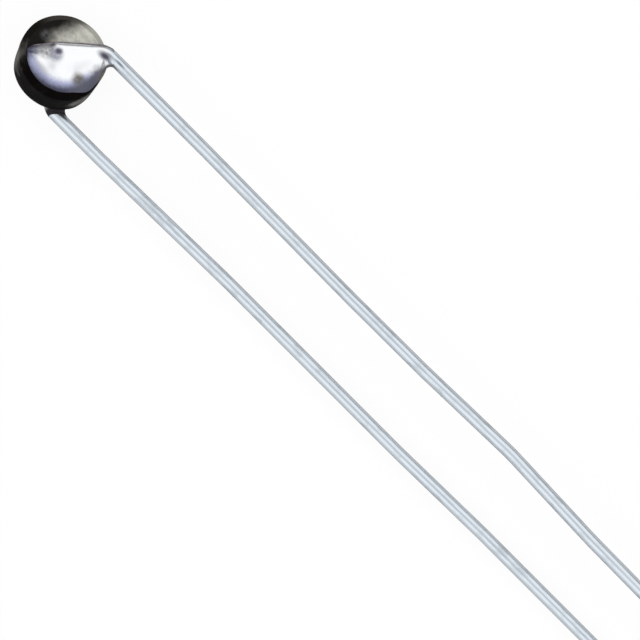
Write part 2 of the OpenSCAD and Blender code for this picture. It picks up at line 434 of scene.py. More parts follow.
@dataclass(frozen=True)
class StainOrShade:
    """A soft long spot on the metal, laid out on the plan that these spots share: some are flux marks, some
    painted shade.

    Attributes:
        at: Its middle, in millimetres on the plan.
        radii: Radius up to which it is full, and radius at which it has faded.
        colour: Its colour.
        cover: How much it covers where it is thin and where it is thick.
        dull: How much it roughens the metal.
        stretch: Its length as a multiple of its width.
        turn: Direction of its length, in degrees.
        thick: Values of the cloud at which it is thin and thick.
    """

    at: Pair
    radii: Pair
    colour: Colour
    cover: Pair = (1.0, 1.0)
    dull: float = 0.0
    stretch: float = 1.0
    turn: float = 0.0
    thick: Pair = (0.32, 0.6)

    def amount(self, board: Board, plan: Socket, cloud: Socket) -> Socket:
        """Adds the strength of the spot.

        Args:
            board: The nodes of the finish.
            plan: The place on the plan.
            cloud: A pattern that makes the spot thin in some places.

        Returns:
            The strength.
        """
        own = board.add("ShaderNodeMapping", {"Vector": plan, "Location": (*self.at, 0),
                                              "Rotation": (0, 0, math.radians(self.turn)),
                                              "Scale": (self.stretch, 1, 1)}, vector_type="TEXTURE")
        spot = Spot((0, 0, 0), *self.radii).amount(board, own.outputs["Vector"])
        return board.times(spot, board.step(cloud, *self.thick, *self.cover))


@dataclass(frozen=True)
class PaintedSheen:
    """A painted sheen on the front face above the wire: painted shade near black at the upper left, pale
    towards the bend, where the face mirrors the light.

    Distances are in millimetres.
    """

    # Colour of the painted shade where there is no sheen, and of the painted sheen where it is full
    dark: Colour = (0.0085, 0.0072, 0.0062, 1)
    pale: Colour = (0.62, 0.61, 0.545, 1)

    # Direction in which it grows, in shares of its width a millimetre, and the share at the disc's middle
    way: Triple = (1.43, -0.47, 0.0)
    start: float = 1.52

    # Pattern that makes it uneven, and how far that moves it, as a share of its width
    cloud: Cloud = Cloud(2.4, 4.0, 0.6)
    uneven: float = 0.55

    # Past the wire's cut end: the direction in which it starts, how far the pattern moves that start, and
    # where it is
    length: Triple = (0.7071, 0.6457, 0.0)
    ragged: float = 0.3
    past_end: Band = (-0.50, -0.02)

    # Where it starts across the soldered stretch
    above: Band = (0.0, 0.2)

    def amount(self, board: Board, place: Socket) -> Socket:
        """Adds the strength of the painted sheen over the front face, from 0 where it is dark to 1.

        Args:
            board: The nodes of the finish.
            place: The place in the part's own millimetres.

        Returns:
            The strength.
        """
        cloud = self.cloud.amount(board, place)
        grown = board.stir(board.math("ADD", board.axis(place, self.way), self.start), cloud, self.uneven)
        along = board.math("MULTIPLY_ADD", cloud, self.ragged, board.axis(place, self.length))
        return board.times(board.step(grown, 0.0, 1.0), board.step(along, *self.past_end),
                           board.step(board.axis(place, ACROSS), *self.above))


@dataclass(frozen=True)
class CeramicFinish:
    """Dense dark ceramic with a fine grain and fired pits, painted grazing reflections on its wall and a
    painted sheen near the front face.
    """

    name: str = "dark sintered ceramic"

    # Colours of most of it, of its paler patches, of the painted grazing reflections and of the painted
    # sheen on the upper left rim
    colour: Colour = (0.0032, 0.0028, 0.0026, 1)
    patch: Colour = (0.0075, 0.0068, 0.0062, 1)
    reflection_colour: Colour = (0.155, 0.148, 0.138, 1)
    rim: Colour = (0.06, 0.053, 0.047, 1)

    # Where that painted sheen on the rim is, and how much its colour covers there
    rim_sheen_spot: Spot = Spot((-0.9, 0.85, 0.45), 0.2, 0.85)
    rim_sheen_cover: float = 0.65

    # The painted sheen on the front face, how much of it the ceramic shows, the levels over which the wall
    # becomes the face, and where the sheen's painted shade starts across the soldered stretch
    film: PaintedSheen = PaintedSheen()
    sheen_cover: float = 0.6
    face: Band = (0.36, 0.54)
    above: Band = (-0.5, 0.0)

    # The painted grazing reflections on the wall at the left, at the right and beside the front web, the
    # fineness and reach of their uneven outlines, and how the cloud thins them
    reflections: tuple[Spot, ...] = (
        Spot((-1.12, -0.9, 0.08), 0.08, 0.74),
        Spot((1.29, -0.42, 0.0), 0.05, 0.5),
        Spot((1.22, 0.5, 0.42), 0.2, 0.5),
    )
    wander: Pair = (2.6, 0.9)
    reflection_cover: Band = (0.3, 0.6, 0.7, 1.0)

    # Pattern of the patches, and the values over which a patch starts
    cloud: Cloud = Cloud(2.3, 3.0, 0.6)
    patchy: Band = (0.45, 0.75)

    # The fine grain, and the roughness over it
    grain: Cloud = Cloud(26.0, 4.0, 0.65)
    gloss: Band = (0.3, 0.7, 0.32, 0.44)

    # Pattern of the pits, the values at which a pit is deep and where it ends, and its depth as a multiple
    # of the grain's
    pits: Cloud = Cloud(9.0, 2.0, 0.4)
    pitted: Band = (0.28, 0.36)
    pit_depth: float = 0.8

    # Depth of the relief in millimetres and its strength, and the share of the usual shine
    relief: Pair = (0.006, 0.5)
    shine: float = 0.006

    def material(self) -> bpy.types.Material:
        """Returns the new material."""
        board = Board(bpy.data.materials.new(self.name))
        place = board.place()
        grain = self.grain.amount(board, place)
        cloud = self.cloud.amount(board, place)
        base = board.blend(board.step(cloud, *self.patchy), self.colour, self.patch)
        upper = board.step(board.axis(place, (0, 0, 1)), *self.face)
        above = board.step(board.axis(place, ACROSS), *self.above)
        # Painted shade: the front face above the soldered stretch takes the sheen's near black
        base = board.blend(board.times(upper, above), base, self.film.dark)
        # Painted sheen on the upper left rim
        base = board.blend(board.times(self.rim_sheen_spot.amount(board, place), self.rim_sheen_cover), base, self.rim)
        # Painted grazing reflections on the wall, with uneven outlines
        uneven = board.warp(place, *self.wander)
        reflections = board.most(*(spot.amount(board, uneven) for spot in self.reflections))
        base = board.blend(board.times(reflections, board.step(cloud, *self.reflection_cover)), base, self.reflection_colour)
        # Painted sheen on the front face
        sheen = board.times(self.film.amount(board, place), upper, self.sheen_cover)
        pits = board.step(self.pits.amount(board, place), *self.pitted)
        return board.surface({
            "Base Color": board.blend(sheen, base, self.film.pale),
            "Roughness": board.step(grain, *self.gloss),
            "Specular IOR Level": self.shine,
            "Normal": board.bump(board.math("MULTIPLY_ADD", pits, self.pit_depth, grain), *self.relief),
        })


@dataclass(frozen=True)
class ElectrodeFinish:
    """Fired metal that heat and flux have dulled, shown by a painted sheen that fades to painted shade at
    the upper left, with one pore in a dull ring.
    """

    side: Side
    film: PaintedSheen = PaintedSheen()

    # Colour of its mottles where the painted sheen is full, their pattern, and the values over which one
    # starts
    mottled: Colour = (0.44, 0.435, 0.39, 1)
    mottle: Cloud = Cloud(7.0, 5.0, 0.6)
    mottling: Band = (0.35, 0.7)

    # Fine grain of the metal, and its height as a share of the mottles'
    fine: Cloud = Cloud(45.0, 3.0, 0.6)
    fine_share: float = 0.5

    # The dull ring round the pore, its colour, and how the mottles thin it
    ring: Spot = Spot((-0.84, 0.064, 0.57), 0.05, 0.26)
    ring_colour: Colour = (0.10, 0.10, 0.105, 1)
    ring_cover: Band = (0.3, 0.7, 0.2, 0.9)

    # The pore, its colour, and how much it covers
    pore: Spot = Spot((-0.84, 0.064, 0.57), 0.035, 0.065)
    pore_colour: Colour = (0.022, 0.02, 0.024, 1)
    pore_cover: float = 0.75

    # Roughness over the mottles, depth of the relief in millimetres and its strength, and the share of the
    # usual shine
    gloss: Band = (0.3, 0.7, 0.45, 0.62)
    relief: Pair = (0.005, 0.6)
    shine: float = 0.06

    def material(self) -> bpy.types.Material:
        """Returns the new material."""
        board = Board(bpy.data.materials.new(f"fired metal {self.side.value}"))
        place = board.place(self.side)
        mottle = self.mottle.amount(board, place)
        fine = self.fine.amount(board, place)
        # Painted sheen: the metal's warm grey and mottles towards the bend, painted shade near black at the
        # upper left
        pale = board.blend(board.step(mottle, *self.mottling), self.film.pale, self.mottled)
        colour = board.blend(self.film.amount(board, place), self.film.dark, pale)
        ring = board.times(self.ring.amount(board, place), board.step(mottle, *self.ring_cover))
        colour = board.blend(ring, colour, self.ring_colour)
        pore = board.times(self.pore.amount(board, place), self.pore_cover)
        return board.surface({
            "Base Color": board.blend(pore, colour, self.pore_colour),
            "Roughness": board.step(mottle, *self.gloss),
            "Specular IOR Level": self.shine,
            "Normal": board.bump(board.math("MULTIPLY_ADD", fine, self.fine_share, mottle), *self.relief),
        })


@dataclass(frozen=True)
class TinnedFinish:
    """Bright tinned wire with fine lines that drawing left along it and a few dull handling marks."""

    name: str = "tinned wire"

    # Colours of the bright metal and of the dull marks, and the tint of what it mirrors at a low angle
    colour: Colour = (0.77, 0.835, 0.895, 1)
    dull: Colour = (0.61, 0.665, 0.715, 1)
    grazing: Colour = (0.42, 0.38, 0.35, 1)

    # Dark spots on the wire, such as a painted dark reflection
    stains_and_shades: tuple[StainOrShade, ...] = ()

    # Patterns of the drawing lines and of the marks, and how they are pressed together along each axis
    lines: Cloud = Cloud(1.0, 2.0, 0.5)
    lines_scale: Triple = (0.5, 30.0, 30.0)
    marks: Cloud = Cloud(1.4, 4.0, 0.6)
    marks_scale: Triple = (1.2, 3.0, 3.0)

    # Values over which a mark starts, the roughness that it adds, and its height as a multiple of the
    # lines'
    marked: Band = (0.48, 0.72)
    mark_rough: float = 0.08
    mark_height: float = 1.5

    # Roughness over the lines, and depth of the relief in millimetres and its strength
    gloss: Band = (0.3, 0.7, 0.23, 0.31)
    relief: Pair = (0.0025, 0.7)

    def material(self) -> bpy.types.Material:
        """Returns the new material."""
        board = Board(bpy.data.materials.new(self.name))
        lines = self.lines.amount(board, board.place(scale=self.lines_scale))
        marks = self.marks.amount(board, board.place(scale=self.marks_scale))
        marked = board.step(marks, *self.marked)
        colour = board.blend(marked, self.colour, self.dull)
        plan = board.plan(board.place())
        # Dark spots over the metal's colour, such as a painted dark reflection
        for stain_or_shade in self.stains_and_shades:
            colour = board.blend(stain_or_shade.amount(board, plan, marks), colour, stain_or_shade.colour)
        gloss = board.step(lines, *self.gloss)
        return board.surface({
            "Base Color": colour,
            "Metallic": 1.0,
            "Specular Tint": self.grazing,
            "Roughness": board.math("MULTIPLY_ADD", marked, self.mark_rough, gloss),
            "Normal": board.bump(board.math("MULTIPLY_ADD", marks, self.mark_height, lines), *self.relief),
        })


@dataclass(frozen=True)
class SolderFinish:
    """Bright solder, with painted shade towards its border and on its steep and hidden places, and frosted
    by flux at the cut end.

    Distances are in millimetres.
    """

    side: Side

    # Colours of the bright middle, of the faint painted shade near the border, and of the dark painted shade
    # at the border and below the rim
    colour: Colour = (0.95, 0.955, 0.97, 1)
    border: Colour = (0.45, 0.475, 0.68, 1)
    shade: Colour = (0.075, 0.077, 0.115, 1)

    # Colours of the painted shade on the solder that has run over the disc's rounded edge, of the painted
    # shade on the fillet's foot behind the wire and its patches, and of the painted shade on the web's rim
    run_over: Colour = (0.105, 0.106, 0.14, 1)
    flank: Colour = (0.13, 0.116, 0.127, 1)
    flank_patch: Colour = (0.205, 0.19, 0.21, 1)
    rim: Colour = (0.12, 0.112, 0.115, 1)

    # Colours of the painted shadow beside the wire's cut end and of the painted shade round the back joint's
    # bend, of the darkening at the pool's upper left end, and of the wire, which the thin end of the web
    # takes
    near: Colour = (0.03, 0.027, 0.03, 1)
    upper_left_dark: Colour = (0.03, 0.03, 0.04, 1)
    wire: Colour = TinnedFinish.colour

    # Tint of what the metal mirrors at a low angle
    grazing: Colour = (0.45, 0.43, 0.43, 1)

    # Marks on the solder: flux smears and blotches from the upper left to the wire's end and in the pool, a
    # painted dark reflection at the bend, painted shade where the solder drops to the cut end, and a painted
    # shadow in the pit by the wire's end; and a dull place on the ridge over the wire
    stains_and_shades: tuple[StainOrShade, ...] = (
        StainOrShade((-0.811, -0.407), (0.1, 0.45), (0.085, 0.085, 0.125, 1), cover=(0.6, 0.95), dull=1.0),
        StainOrShade((-0.342, -0.346), (0.14, 0.36), (0.27, 0.27, 0.28, 1), cover=(0.4, 0.9), dull=1.0),
        StainOrShade((0.598, 0.563), (0.06, 0.30), (0.19, 0.175, 0.15, 1), cover=(0.6, 1.0), dull=1.0),
        # Painted dark reflection where the wire leaves the solder at the bend
        StainOrShade((1.385, -0.165), (0.03, 0.19), (0.085, 0.08, 0.11, 1), stretch=1.8, turn=34.5),
        StainOrShade((-0.06, -0.21), (0.10, 0.30), (0.36, 0.37, 0.43, 1), cover=(0.7, 1.0), dull=1.0),
        # Painted shade where the solder drops to the wire's cut end
        StainOrShade((0.022, -0.292), (0.03, 0.13), (0.10, 0.10, 0.14, 1), cover=(0.95, 0.95), stretch=1.3),
        # Painted shadow in the pit by the wire's cut end
        StainOrShade((-0.19, -0.534), (0.03, 0.12), (0.03, 0.03, 0.04, 1), cover=(0.9, 0.9)),
    )
    dull_spot: Spot = Spot((-0.15, -0.40, 0.82), 0.1, 0.4)

    # Broad, fine and finest pattern of the surface, and the one that makes the marks and patches uneven
    swell: Cloud = Cloud(2.2, 2.0, 0.45)
    skin: Cloud = Cloud(14.0, 4.0, 0.6)
    grains: Cloud = Cloud(60.0, 2.0, 0.5)
    ragged: Cloud = Cloud(9.0, 4.0, 0.7)

    # The painted shade of the border: how its middle lies off the disc's, how far the skin moves it, the
    # direction away from the wire and where it starts in that, and the radii over which the faint and the
    # dark one start
    pool_shift: Triple = (0.12, -0.07, 0)
    pool_uneven: float = 0.10
    pool_way: Triple = (0.283, -1.033, 0.0)
    pool_side: Band = (-0.1, 0.4)
    faint: Band = (0.82, 1.08)
    dark: Band = (1.0, 1.25)

    # The darkening at the pool's upper left end: the direction out of it, what is added to the distance in
    # that, and how it fades with the sum
    upper_left_way: Triple = (4.2, -0.90, 0.0)
    upper_left_start: float = 3.25
    upper_left_cover: Band = (0.0, 1.0, 0.85, 0.0)

    # The painted shadow at the cut end: how it fades along the soldered stretch, and where it starts across
    # it
    cut_end: Band = (-0.42, -0.28, 0.65, 0.0)
    cut_side: Band = (0.06, 0.22)

    # Where the web takes the wire's colour along the stretch, and how much the faint painted shade and that
    # end roughen the solder
    run_out: Band = (1.16, 1.36)
    dulling: Pair = (0.8, 0.35)

    # The painted shade on the solder on the rounded edge: how far the swell moves it, where it starts along
    # X, and how it fades along Y
    over_uneven: float = 0.45
    over_x: Band = (0.78, 1.04)
    over_y: Band = (0.5, 0.75, 0.95, 0.0)

    # The painted shade on the fillet's foot: how softly its two sides meet, how much earlier it starts near
    # the bend, where it starts away from the wire, and the values of the ragged pattern over which a patch
    # starts
    merge: float = 0.1
    foot_shift: Band = (0.6, 1.15, 0.0, 0.05)
    foot: Band = (0.09, 0.14)
    patchy: Band = (0.4, 0.62)

    # The painted shade on the back joint's bend: where it starts along X and along Y, and how it fades along
    # X
    back_bend: Band = (0.45, 0.75)
    back_end: Band = (0.95, 1.5, 1.0, 0.0)

    # How the shade below the rim fades with the level
    low: Band = (0.30, 0.54, 1.0, 0.0)

    # Roughness over the skin, the roughness that full dulling adds, and the share of the usual shine
    gloss: Band = (0.35, 0.75, 0.13, 0.2)
    dull_rough: float = 0.3
    shine: float = 0.06

    # Heights of the grains and the skin as shares of the swell's, and depth of the relief in millimetres
    # and its strength
    fine: Pair = (0.12, 0.35)
    relief: Pair = (0.008, 0.5)

    def border_shade(self, board: Board, place: Socket, skin: Socket) -> tuple[Socket, Socket]:
        """Adds the painted shade of the pool's border, which is faint inside and dark at the border.

        Args:
            board: The nodes of the finish.
            place: The place in the part's own millimetres.
            skin: A pattern that makes the painted shade uneven.

        Returns:
            The strengths of the faint and the dark painted shade.
        """
        flat = board.vector("MULTIPLY_ADD", place, (1, 1, 0), self.pool_shift).outputs[0]
        radius = board.stir(board.vector("LENGTH", flat).outputs["Value"], skin, self.pool_uneven)
        pool_side = board.step(board.axis(place, self.pool_way), *self.pool_side)
        return (board.times(board.step(radius, *self.faint), pool_side),
                board.times(board.step(radius, *self.dark), pool_side))

    def foot_mask(self, board: Board, along: Socket, across: Socket, y: Socket) -> Socket:
        """Adds where the painted shade on the foot of the fillet is, on the wire's far side.

        Args:
            board: The nodes of the finish.
            along: Distance along the soldered stretch.
            across: Distance across it.
            y: Distance along Y.

        Returns:
            The strength, from 0 on the wire to 1 on the foot.
        """
        outward = board.math("SMOOTH_MAX", board.math("SUBTRACT", across, SIZES.joint_offset),
                             board.math("SUBTRACT", y, SIZES.lead_y), self.merge)
        return board.step(board.math("ADD", board.step(along, *self.foot_shift), outward), *self.foot)

    def material(self) -> bpy.types.Material:
        """Returns the new material."""
        board = Board(bpy.data.materials.new(f"solder {self.side.value}"))
        place = board.place(self.side)
        x, y, z = (board.axis(place, way) for way in ((1, 0, 0), (0, 1, 0), (0, 0, 1)))
        along, across = board.axis(place, ALONG), board.axis(place, ACROSS)
        swell, skin, grains, ragged = (
            cloud.amount(board, place) for cloud in (self.swell, self.skin, self.grains, self.ragged))

        # Painted shade, faint and then dark, towards the pool's border
        faint, dark = self.border_shade(board, place, skin)
        colour = board.blend(faint, self.colour, self.border)
        colour = board.blend(dark, colour, self.shade)
        # Darker towards the pool's upper left end
        out_of_upper_left = board.math("ADD", board.axis(place, self.upper_left_way), self.upper_left_start)
        colour = board.blend(board.step(out_of_upper_left, *self.upper_left_cover), colour, self.upper_left_dark)
        # Painted shadow beside the wire's cut end, on the wire's far side
        cut_end = board.times(board.step(along, *self.cut_end), board.step(across, *self.cut_side))
        colour = board.blend(cut_end, colour, self.near)

        run_out = board.step(along, *self.run_out)
        colour = board.blend(run_out, colour, self.wire)
        dull = board.most(board.times(faint, self.dulling[0]), board.times(run_out, self.dulling[1]))
        plan = board.plan(place)
        # Flux marks, and painted shade, shadow and dark reflection, laid over the colour
        for stain_or_shade in self.stains_and_shades:
            amount = stain_or_shade.amount(board, plan, ragged)
            colour = board.blend(amount, colour, stain_or_shade.colour)
            dull = board.most(dull, board.times(amount, stain_or_shade.dull))
        dull = board.most(dull, self.dull_spot.amount(board, place))

        # Painted shade on the solder that has run over the rounded edge
        run_over = board.times(board.step(board.stir(x, swell, self.over_uneven), *self.over_x),
                               board.step(y, *self.over_y))
        colour = board.blend(run_over, colour, self.run_over)
        # Painted shade on the web's rim
        brim = board.add("ShaderNodeAttribute", attribute_name="brim").outputs["Fac"]
        colour = board.blend(brim, colour, self.rim)
        # Painted shade behind the wire: on the fillet's foot at the front, with paler patches
        if self.side is Side.FRONT:
            flank = self.foot_mask(board, along, across, y)
            patchy = board.step(ragged, *self.patchy)
            flank_colour: object = board.blend(patchy, self.flank, self.flank_patch)
        else:
            # Painted shade on the back joint's bend near the rim, where the disc keeps the light off
            bend = board.times(board.step(x, *self.back_bend), board.step(x, *self.back_end))
            flank, flank_colour = board.times(board.step(y, *self.back_bend), bend), self.near
        colour = board.blend(flank, colour, flank_colour)
        low = board.step(z, *self.low)

        bare = board.math("SUBTRACT", 1.0, board.most(flank, brim, run_over, low))
        height = board.math("MULTIPLY_ADD", skin, self.fine[1], swell)
        height = board.math("MULTIPLY_ADD", grains, self.fine[0], height)
        return board.surface({
            "Base Color": board.blend(low, colour, self.shade),
            "Metallic": bare,
            "Specular IOR Level": board.times(bare, self.shine),
            "Specular Tint": self.grazing,
            "Roughness": board.math("MULTIPLY_ADD", dull, self.dull_rough, board.step(skin, *self.gloss)),
            "Normal": board.bump(height, *self.relief),
        })


@dataclass
class Piece:
    """One piece of the part, made in millimetres and laid down in metres.

    Attributes:
        name: Name of the object.
        node: The solid that the piece stands for.
        slot: The record's material slot; not used.
        side: The face that the piece is on.
        sharp: Angle between faces, in degrees, above which an edge stays sharp.
    """

    name: str
    node: str
    slot: str
    side: Side = Side.FRONT
    sharp: float = 38.0

    def shape(self, mesh: bmesh.types.BMesh) -> None:
        """Builds the piece in an empty bmesh, in millimetres. Each kind of piece has its own."""
        raise NotImplementedError

    def finish(self) -> bpy.types.Material:
        """Returns the piece's material. Each kind of piece has its own."""
        raise NotImplementedError

    def build(self) -> None:
        """Makes the object, dresses it, hangs it under the root and hides the solid that it stands for."""
        mesh = bmesh.new()
        self.shape(mesh)
        bmesh.ops.remove_doubles(mesh, verts=mesh.verts, dist=WELD)
        bmesh.ops.recalc_face_normals(mesh, faces=mesh.faces)
        bmesh.ops.transform(mesh, matrix=REST.face(self.side), verts=mesh.verts)
        for face in mesh.faces:
            face.smooth = True
        for edge in mesh.edges:
            edge.smooth = edge.calc_face_angle(0.0) < math.radians(self.sharp)
        data = bpy.data.meshes.new(self.name)
        mesh.to_mesh(data)
        mesh.free()
        made = bpy.data.objects.new(self.name, data)
        bpy.context.collection.objects.link(made)
        data.materials.append(self.finish())
        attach(made, "root")
        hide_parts(self.node)
        log.info("%s: %d faces", self.name, len(data.polygons))


def rise(edge: bmesh.types.BMEdge) -> float:
    """Returns how far an edge rises along Z."""
    return abs(edge.verts[0].co.z - edge.verts[1].co.z)


def soften(mesh: bmesh.types.BMesh, edges: Edges, width: float, steps: int) -> None:
    """Rounds some edges off.

    Args:
        mesh: The piece that they are on.
        edges: The edges.
        width: How far the rounding reaches from them, in millimetres.
        steps: Number of faces across the rounding.
    """
    bmesh.ops.bevel(mesh, geom=edges, offset=width, offset_type="OFFSET", affect="EDGES", segments=steps,
                    profile=0.5, material=-1)


@dataclass
class CeramicDisc(Piece):
    """The pressed and sintered disc, with tumbled edges and a slightly uneven wall.

    Attributes:
        segments: Points round the disc.
        edge_steps: Faces across the rounded edge.
        wall_cuts: Rings of points up the wall.
        even: Width of the rounded edge that stays even, next to the flat face.
        ripple: Unevenness of the wall and the rounded edge.
    """

    segments: int = 192
    edge_steps: int = 14
    wall_cuts: int = 6
    even: float = 0.01
    ripple: Ripple = Ripple(0.006, 2.1, 1.0)

    def shape(self, mesh: bmesh.types.BMesh) -> None:
        """Builds the disc from a cylinder with rounded edges."""
        bmesh.ops.create_cone(mesh, cap_ends=True, segments=self.segments, radius1=SIZES.disc_r,
                              radius2=SIZES.disc_r, depth=SIZES.disc_t)
        rims = [edge for edge in mesh.edges if rise(edge) < SIZES.disc_t / 2]
        soften(mesh, rims, SIZES.edge_r, self.edge_steps)
        walls = [edge for edge in mesh.edges if rise(edge) > SIZES.disc_t / 2 - SIZES.edge_r]
        bmesh.ops.subdivide_edges(mesh, edges=walls, cuts=self.wall_cuts, use_grid_fill=True)
        for vert in mesh.verts:
            out = Vector((vert.co.x, vert.co.y, 0))
            if out.length > SIZES.disc_r - SIZES.edge_r + self.even:
                vert.co += out.normalized() * self.ripple.at(vert.co)
            for flat in FLATS:
                vert.co = flat.pull(vert.co)

    def finish(self) -> bpy.types.Material:
        """Returns the ceramic's material."""
        return CeramicFinish().material()


@dataclass
class Electrode(Piece):
    """The thin fired metal of one face, with a soft edge that isn't quite round.

    Attributes:
        segments: Points round the electrode.
        edge_share: Width of its soft edge as a share of its thickness.
        edge_steps: Faces across that edge.
        ripple: Waviness of its outline.
    """

    segments: int = 160
    edge_share: float = 0.6
    edge_steps: int = 3
    ripple: Ripple = Ripple(0.008, 4.0, 0.5)

    def shape(self, mesh: bmesh.types.BMesh) -> None:
        """Builds the electrode from a flat cylinder."""
        middle = (SIZES.disc_t + SIZES.electrode_t) / 2
        bmesh.ops.create_cone(mesh, cap_ends=True, segments=self.segments, radius1=SIZES.electrode_r,
                              radius2=SIZES.electrode_r, depth=SIZES.electrode_t,
                              matrix=Matrix.Translation((0, 0, middle)))
        top = [edge for edge in mesh.edges if min(vert.co.z for vert in edge.verts) > middle]
        soften(mesh, top, SIZES.electrode_t * self.edge_share, self.edge_steps)
        for vert in mesh.verts:
            out = Vector((vert.co.x, vert.co.y, 0))
            vert.co += out.normalized() * self.ripple.at(out)

    def finish(self) -> bpy.types.Material:
        """Returns the electrode's material."""
        return ElectrodeFinish(self.side).material()


@dataclass
class Lead(Piece):
    """A tinned wire: cut end on the face, soldered stretch, bend at the rim, long lead with slight kinks.

    Attributes:
        kinks: Slight bends, each as distance along X from the disc's centre and turn in degrees.
        stains_and_shades: Dark spots on the wire; the front wire's one is a painted dark reflection.
        segments: Points round the wire.
        slimmer: How much thinner than the solid's wire it is, so that it stays inside the solid's box.
        longest: Longest face along a straight stretch, in millimetres.
        bend_steps: Faces to a degree of bend.
        burr: Width of the softened edge of a cut end.
        burr_steps: Faces across that edge.
    """

    kinks: tuple[Pair, ...] = ()
    stains_and_shades: tuple[StainOrShade, ...] = ()
    segments: int = 40
    slimmer: float = 0.002
    longest: float = 0.8
    bend_steps: float = 0.7
    burr: float = 0.018
    burr_steps: int = 3

    def corners(self) -> list[Vector]:
        """Returns the corners of the wire's axis: cut end, bend at the rim, kinks and free end."""
        along = Vector((math.cos(SIZES.slant), math.sin(SIZES.slant), 0))
        level = Vector((0, 0, SIZES.lead_level))
        across = Vector((-math.sin(SIZES.slant), math.cos(SIZES.slant), 0)) * SIZES.joint_offset + level
        points = [across - SIZES.wire_tail * along, across + SIZES.corner * along]
        x, y, heading = points[1].x, SIZES.lead_y, 0.0
        for kink_x, turn in (*self.kinks, (SIZES.lead_length, 0.0)):
            y += (kink_x - x) * math.tan(math.radians(heading))
            points.append(Vector((kink_x, y, SIZES.lead_level)))
            x, heading = kink_x, heading + turn
        return points

    def shape(self, mesh: bmesh.types.BMesh) -> None:
        """Builds the wire by drawing a circle along its corners."""
        points = self.corners()
        angles = [math.atan2(b.y - a.y, b.x - a.x) for a, b in zip(points, points[1:])]
        turns = [b - a for a, b in zip(angles, angles[1:])]
        radii = [SIZES.bend_r] + [SIZES.kink_r] * (len(turns) - 1)
        trims = [0.0] + [r * math.tan(abs(t) / 2) for r, t in zip(radii, turns)] + [0.0]
        upright = Matrix.Rotation(angles[0], 4, "Z") @ Matrix.Rotation(math.pi / 2, 4, "Y")
        bmesh.ops.create_circle(mesh, cap_ends=False, segments=self.segments,
                                radius=SIZES.wire_r - self.slimmer,
                                matrix=Matrix.Translation(points[0]) @ upright)
        first = list(mesh.edges)
        loop = list(first)
        for i, angle in enumerate(angles):
            along = Vector((math.cos(angle), math.sin(angle), 0))
            reach = (points[i + 1] - points[i]).length - trims[i] - trims[i + 1]
            steps = max(1, round(reach / self.longest))
            for _ in range(steps):
                loop = self.draw(mesh, loop, along * (reach / steps))
            if i < len(turns):
                inside = Vector((-along.y, along.x, 0)) * math.copysign(1.0, turns[i])
                centre = points[i + 1] - along * trims[i + 1] + inside * radii[i]
                loop = self.bend(mesh, loop, centre, turns[i])
        for edges in (first, loop):
            cap = bmesh.ops.contextual_create(mesh, geom=edges)["faces"]
            rim = dict.fromkeys(edge for face in cap for edge in face.edges)
            soften(mesh, list(rim), self.burr, self.burr_steps)

    @staticmethod
    def draw(mesh: bmesh.types.BMesh, loop: Edges, step: Vector) -> Edges:
        """Draws the open end of the wire out along a step.

        Args:
            mesh: The wire so far.
            loop: The edges of its open end.
            step: The way that the end goes.

        Returns:
            The edges of the new open end.
        """
        drawn = bmesh.ops.extrude_edge_only(mesh, edges=loop)["geom"]
        verts = [item for item in drawn if isinstance(item, bmesh.types.BMVert)]
        bmesh.ops.translate(mesh, verts=verts, vec=step)
        ends = set(verts)
        return [item for item in drawn if isinstance(item, bmesh.types.BMEdge) and set(item.verts) <= ends]

    def bend(self, mesh: bmesh.types.BMesh, loop: Edges, centre: Vector, turn: float) -> Edges:
        """Spins the open end of the wire round a bend.

        Args:
            mesh: The wire so far.
            loop: The edges of its open end.
            centre: Centre of the bend.
            turn: Angle of the bend, in radians, which is more than 0 to the left.

        Returns:
            The edges of the new open end.
        """
        verts = dict.fromkeys(vert for edge in loop for vert in edge.verts)
        steps = max(2, round(math.degrees(abs(turn)) * self.bend_steps))
        spun = bmesh.ops.spin(mesh, geom=loop + list(verts), cent=centre, angle=abs(turn), steps=steps,
                              axis=(0, 0, math.copysign(1.0, turn)), use_merge=False)
        return [item for item in spun["geom_last"] if isinstance(item, bmesh.types.BMEdge)]

    def finish(self) -> bpy.types.Material:
        """Returns the wire's material."""
        return TinnedFinish(f"tinned wire {self.side.value}", stains_and_shades=self.stains_and_shades).material()


